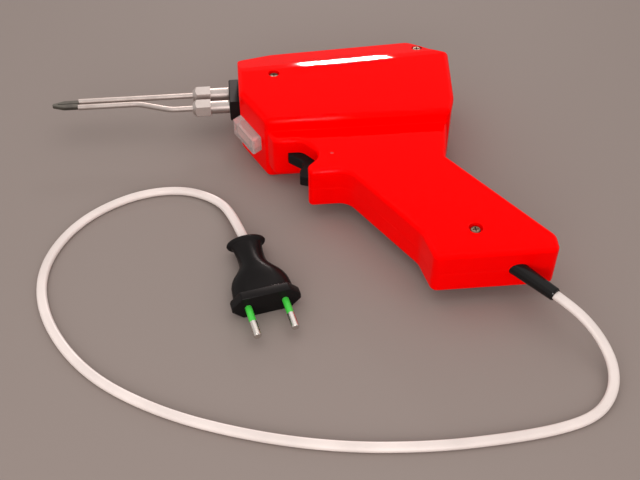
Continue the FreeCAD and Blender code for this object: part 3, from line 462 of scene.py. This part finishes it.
flex_line, flex = new_curve("mains_flex", "3D")
flex_line.twist_mode = "Z_UP"
flex_line.resolution_u = 10
flex_spline = thread(flex_line, "NURBS", ROUTE)
flex_spline.order_u = 3
flex_spline.use_endpoint_u = True
centre_mesh = bpy.data.meshes.new_from_object(flex)
bpy.data.meshes.remove(centre_mesh)

OVAL_STEPS = 12
FLAT_HALF = (FLEX_WIDE - FLEX_THIN) / 2
oval_spots = []
for side in (1, -1):
    for step in range(OVAL_STEPS + 1):
        turn = math.radians(-90 + 180 * step / OVAL_STEPS)
        oval_spots.append((side * (FLAT_HALF + FLEX_THIN / 2 * math.cos(turn)),
                           side * FLEX_THIN / 2 * math.sin(turn), 0.0))
oval_line, oval = new_curve("flex_section", "2D")
thread(oval_line, "POLY", oval_spots).use_cyclic_u = True
flex_line.bevel_mode = "OBJECT"
flex_line.bevel_object = oval
flex_line.use_fill_caps = True
curve_to_mesh(flex, white_flex, smooth_angle=40, merge=0.00002)
bpy.data.objects.remove(oval)
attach(flex, "housing")
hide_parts("mains_cord")

# ---- mains plug ----
# A flat two-pin plug moulded in black round the flex. A thick collar at the back, a waist to
# hold, round shoulders and a face plate with cut corners; the top and bottom are flattened.
# The middle of the face that the pins come out of, and the way they point.
PLUG_FACE_AT = (-0.013325, -0.076861, 0.00685)
PLUG_TURN = math.radians(-78.3)
PLUG_LONG = 0.0455
PLUG_FLAT = 0.0058
# Each row is a place along the grip, then half its width and half its height there.
PLUG_SECTIONS = (
    (-0.0020, 0.0084, 0.0040), (-0.0016, 0.0094, 0.0047), (-0.0009, 0.0101, 0.0052),
    (0.0000, 0.0104, 0.0054), (0.0009, 0.0101, 0.0052), (0.0016, 0.0094, 0.0048),
    (0.0020, 0.0083, 0.0046), (0.0030, 0.0077, 0.0046), (0.0090, 0.0071, 0.0050),
    (0.0130, 0.0070, 0.0053), (0.0160, 0.0073, 0.0056), (0.0185, 0.0083, 0.0058),
    (0.0210, 0.0101, 0.0060), (0.0235, 0.0121, 0.0062), (0.0260, 0.0136, 0.0064),
    (0.0290, 0.0146, 0.0065), (0.0320, 0.0150, 0.0066), (0.0360, 0.0153, 0.0066),
    (0.0405, 0.0156, 0.0066), (0.0420, 0.0156, 0.0066),
)


def start_from(add, name, **settings):
    """Add a primitive at its size and place, and open it in edit mode."""
    bpy.ops.object.select_all(action="DESELECT")
    add(**settings)
    piece = bpy.context.active_object
    piece.name = name
    piece.data.name = name
    bpy.ops.object.transform_apply(location=True, rotation=True, scale=True)
    bpy.ops.object.mode_set(mode="EDIT")
    return piece


def select_edges(piece, wanted):
    """Select the edges whose two ends, in the piece's own place, pass the test."""
    bpy.ops.mesh.select_mode(type="EDGE")
    bpy.ops.mesh.select_all(action="DESELECT")
    cage = bmesh.from_edit_mesh(piece.data)
    for edge in cage.edges:
        if wanted(edge.verts[0].co, edge.verts[1].co):
            edge.select_set(True)
    bmesh.update_edit_mesh(piece.data)


def lay_plug_piece(piece):
    """From the plug's own place, back at the origin and pins along X, to where it lies."""
    select_only(piece)
    piece.rotation_euler = (0.0, 0.0, PLUG_TURN)
    piece.location = (PLUG_FACE_AT[0] - PLUG_LONG * math.cos(PLUG_TURN),
                      PLUG_FACE_AT[1] - PLUG_LONG * math.sin(PLUG_TURN), PLUG_FACE_AT[2])
    bpy.ops.object.transform_apply(location=True, rotation=True, scale=True)


grip = start_from(bpy.ops.mesh.primitive_circle_add, "plug_grip", vertices=56, radius=1.0,
                  fill_type="NGON", rotation=(0.0, math.radians(90), 0.0))
bpy.ops.mesh.select_all(action="SELECT")
x, wide, high = PLUG_SECTIONS[0]
bpy.ops.transform.resize(value=(1.0, wide, high), center_override=(0.0, 0.0, 0.0))
for next_x, next_wide, next_high in PLUG_SECTIONS[1:]:
    bpy.ops.mesh.extrude_region_move(TRANSFORM_OT_translate={"value": (next_x - x, 0.0, 0.0)})
    bpy.ops.transform.resize(value=(1.0, next_wide / wide, next_high / high),
                             center_override=(next_x, 0.0, 0.0))
    x, wide, high = next_x, next_wide, next_high
for side in (1, -1):
    bpy.ops.mesh.select_all(action="SELECT")
    bpy.ops.mesh.bisect(plane_co=(0.0, 0.0, side * PLUG_FLAT), plane_no=(0.0, 0.0, side),
                        use_fill=True, clear_outer=True)
finish_edit(smooth_angle=28)
lay_plug_piece(grip)
grip.data.materials.append(black)
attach(grip, "housing")
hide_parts("plug_body")

FACE_THICK = 0.006
FACE_WIDE = 0.035
FACE_HIGH = 0.0137
FACE_CORNER = 0.0054
FACE_SHOULDER = 0.0016
FACE_SOFT = 0.0004
face_plate = start_from(
    bpy.ops.mesh.primitive_cube_add, "plug_face_plate", size=1.0,
    location=(PLUG_LONG - FACE_THICK / 2, 0.0, 0.0), scale=(FACE_THICK, FACE_WIDE, FACE_HIGH))
select_edges(face_plate, lambda a, b: abs(a.x - b.x) > FACE_THICK / 2)
bpy.ops.mesh.bevel(offset=FACE_CORNER, segments=1, affect="EDGES")
select_edges(face_plate, lambda a, b: max(a.x, b.x) < PLUG_LONG - FACE_THICK / 2)
bpy.ops.mesh.bevel(offset=FACE_SHOULDER, segments=2, affect="EDGES")
finish_edit(smooth_angle=30)
softened = face_plate.modifiers.new("softened", "BEVEL")
softened.width = FACE_SOFT
softened.segments = 2
softened.limit_method = "ANGLE"
bpy.ops.object.modifier_apply(modifier="softened")
lay_plug_piece(face_plate)
face_plate.data.materials.append(black)
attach(face_plate, "housing")

pin_plating = metal("pin_plating", (0.66, 0.62, 0.58), (0.4, 0.36, 0.32), 0.2, tarnish=0.3)
finish_with(pin_plating, "plug_pins")
finish_with(moulded("green_sleeve", (0.06, 0.62, 0.06), (0.05, 0.55, 0.05), (0.12, 0.7, 0.12), 0.35),
            "pin_sleeves")

# ---- floor ----
# A plain, matt, pale grey board that the gun lies on, eight metres each way. From low down its
# far edge shows, with the paler room behind it.
FLOOR_SIDE = 8.0
bpy.ops.object.select_all(action="DESELECT")
bpy.ops.mesh.primitive_plane_add(size=FLOOR_SIDE, location=(0.0, 0.0, 0.0))
floor = bpy.context.active_object
floor.name = "floor"
floor_material, _, floor_shader = new_material("pale_floor")
floor_shader.inputs["Base Color"].default_value = (0.268, 0.222, 0.202, 1.0)
floor_shader.inputs["Roughness"].default_value = 0.75
floor_shader.inputs["Specular IOR Level"].default_value = 0.1
floor.data.materials.append(floor_material)


# ---- light ----
# A large soft key overhead and a wide fill from the front. A narrow tilted panel far behind is
# mirrored as a bright strip by the facet along the top of the shell, and a small one in front
# puts short glints on the rounded edges.
def panel(name, place, aim, size, watts, colour, spin=0.0):
    """A flat light at a place, facing its aim, and spun about the line between the two."""
    light = bpy.data.lights.new(name, "AREA")
    light.shape = "RECTANGLE"
    light.size, light.size_y = size
    light.energy = watts
    light.color = colour
    lamp = bpy.data.objects.new(name, light)
    lamp.location = place
    across = [a - p for a, p in zip(aim, place)]
    length = math.sqrt(sum(c * c for c in across))
    pitch = math.acos(-across[2] / length)
    heading = math.atan2(across[0], -across[1])
    lamp.rotation_mode = "QUATERNION"
    lamp.rotation_quaternion = (
        Quaternion((0, 0, 1), -heading) @ Quaternion((1, 0, 0), -pitch) @ Quaternion((0, 0, 1), spin))
    bpy.context.scene.collection.objects.link(lamp)
    return lamp


panel("key", place=(0.0, 0.12, 0.80), aim=(0.0, 0.0, 0.0), size=(1.1, 0.9), watts=2.1,
      colour=(1.0, 0.98, 0.96))
fill = panel("fill", place=(-0.25, -0.9, 0.40), aim=(0.0, 0.0, 0.04), size=(1.0, 0.5), watts=5.0,
             colour=(1.0, 0.97, 0.95))
fill.visible_glossy = False
strip = panel("strip", place=(0.185, 1.579, 0.640), aim=(0.04, 0.08, 0.04), size=(0.225, 0.105),
              watts=22.0, colour=(1.0, 0.86, 0.82), spin=math.radians(-32))
strip.visible_diffuse = False
glint = panel("glint", place=(0.107, -1.28, 0.78), aim=(0.01, 0.02, 0.04), size=(0.147, 0.5),
              watts=7.0, colour=(1.0, 0.9, 0.88))
glint.visible_diffuse = False
world = bpy.data.worlds.new("studio")
bpy.context.scene.world = world
world.use_nodes = True
world.node_tree.nodes["Background"].inputs["Color"].default_value = (1.0, 0.96, 0.94, 1.0)
world.node_tree.nodes["Background"].inputs["Strength"].default_value = 0.76
bpy.context.scene.view_settings.view_transform = "Standard"
